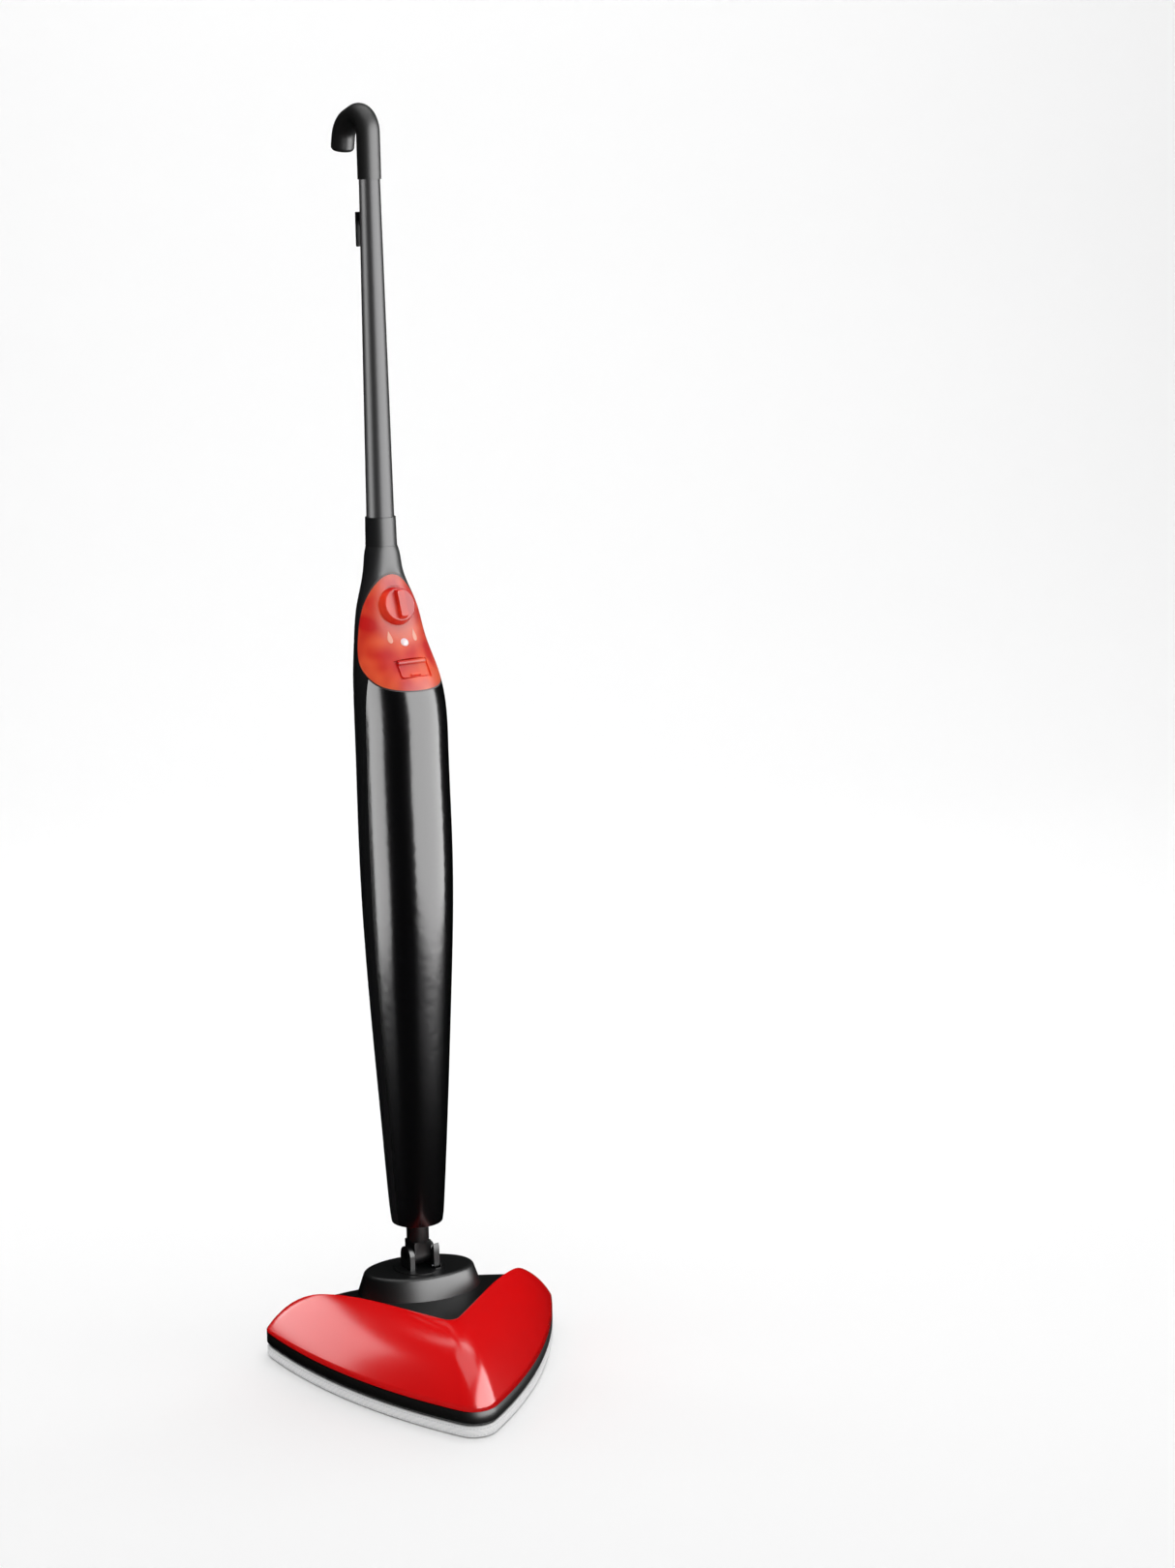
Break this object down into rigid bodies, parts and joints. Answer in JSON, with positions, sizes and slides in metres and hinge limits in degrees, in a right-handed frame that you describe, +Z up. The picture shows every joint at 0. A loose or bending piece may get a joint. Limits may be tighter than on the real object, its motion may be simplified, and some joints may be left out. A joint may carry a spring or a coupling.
{
  "type": "steam mop",
  "caption": "Upright steam mop: triangular swivelling floor head with a cloth pad, slim casing with tank, pump and boiler, control panel with dial and filler flap, pole and crook handle.",
  "frame": {"origin": "on the floor, under the vertical swivel axis of the floor head", "axes": "+Z up; -Y is the side with the control panel; +X to the viewer's right when the panel is in front; at rest the floor head stands turned 16 degrees to the left under the handle"},
  "size_m": [0.2761, 0.2999, 1.1778],
  "materials": {
    "pad": "looped microfibre",
    "hook_tape": "hook tape",
    "dark_plastic": "matt moulded",
    "red_shell": "high gloss",
    "black_plastic": "fine spark texture",
    "gloss_black": "satin gloss",
    "pole_black": "satin",
    "grip_black": "satin",
    "red_panel": "tinted translucent gloss",
    "white_plastic": "moulded",
    "grey_plastic": "moulded",
    "steel": "plated",
    "aluminium": "die cast",
    "rubber": "matt",
    "silicone": "translucent",
    "felt": "needled fibre",
    "circuit_board": "solder mask",
    "clear_lens": "polished"
  },
  "bodies": {
    "floor_head": {"cleaning_pad": "pad", "hook_strips": "hook_tape", "steam_plate": "dark_plastic", "base_frame": "dark_plastic", "head_shell": "red_shell", "head_deck": "black_plastic", "swivel_bush": "white_plastic", "steam_manifold": "grey_plastic", "foot_screws": "steel"},
    "turret": {"swivel_turret": "black_plastic", "turret_clip": "steel", "pitch_pin": "steel", "latch_pin": "steel"},
    "latch": {"park_latch": "black_plastic"},
    "handle": {"neck_stem": "black_plastic", "front_casing": "gloss_black", "rear_casing": "black_plastic", "control_panel": "red_panel", "panel_seal": "rubber", "steam_regulator": "grey_plastic", "control_board": "circuit_board", "indicator_lens": "clear_lens", "indicator_led": "white_plastic", "flap_pin": "steel", "filler_gasket": "rubber", "water_tank": "grey_plastic", "suction_tube": "silicone", "pump": "grey_plastic", "pump_bracket": "steel", "pump_mounts": "rubber", "feed_tube": "silicone", "boiler": "aluminium", "boiler_jacket": "felt", "thermostat": "steel", "thermal_fuse": "white_plastic", "steam_tube": "silicone", "wiring": "rubber", "cord_gland": "rubber", "lower_cord_hook": "black_plastic", "collar": "black_plastic", "pole_tube": "pole_black", "crook_handle": "grip_black", "crook_end_cap": "black_plastic", "hook_screw": "steel", "casing_screws": "steel"},
    "knob": {"steam_knob": "red_panel", "regulator_shaft": "grey_plastic"},
    "flap": {"filler_flap": "red_panel"},
    "cord_hook": {"upper_cord_hook": "black_plastic"}
  },
  "joints": [
    {"name": "head_swivel", "type": "hinge", "parent": "floor_head", "child": "turret", "pos_m": [0, 0, 0.0876], "axis": [0, 0, 1], "range_deg": [-74, 106]},
    {"name": "neck_pitch", "type": "hinge", "parent": "turret", "child": "handle", "pos_m": [0, 0, 0.1006], "axis": [-1, 0, 0], "range_deg": [0, 65]},
    {"name": "park_latch_press", "type": "hinge", "parent": "turret", "child": "latch", "pos_m": [0.0107, -0.0143, 0.0906], "axis": [1, 0, 0], "range_deg": [0, 12], "stiffness_Nm_per_rad": 0.05},
    {"name": "steam_dial", "type": "hinge", "parent": "handle", "child": "knob", "pos_m": [0, 0.00321, 0.72644], "axis": [0, -0.9455, 0.3256], "range_deg": [-240, 0]},
    {"name": "filler_flap_hinge", "type": "hinge", "parent": "handle", "child": "flap", "pos_m": [0, -0.02022, 0.67773], "axis": [-1, 0, 0], "range_deg": [0, 80]},
    {"name": "cord_hook_swivel", "type": "hinge", "parent": "handle", "child": "cord_hook", "pos_m": [0, 0.0395, 1.0746], "axis": [0, 1, 0], "range_deg": [0, 180]}
  ]
}
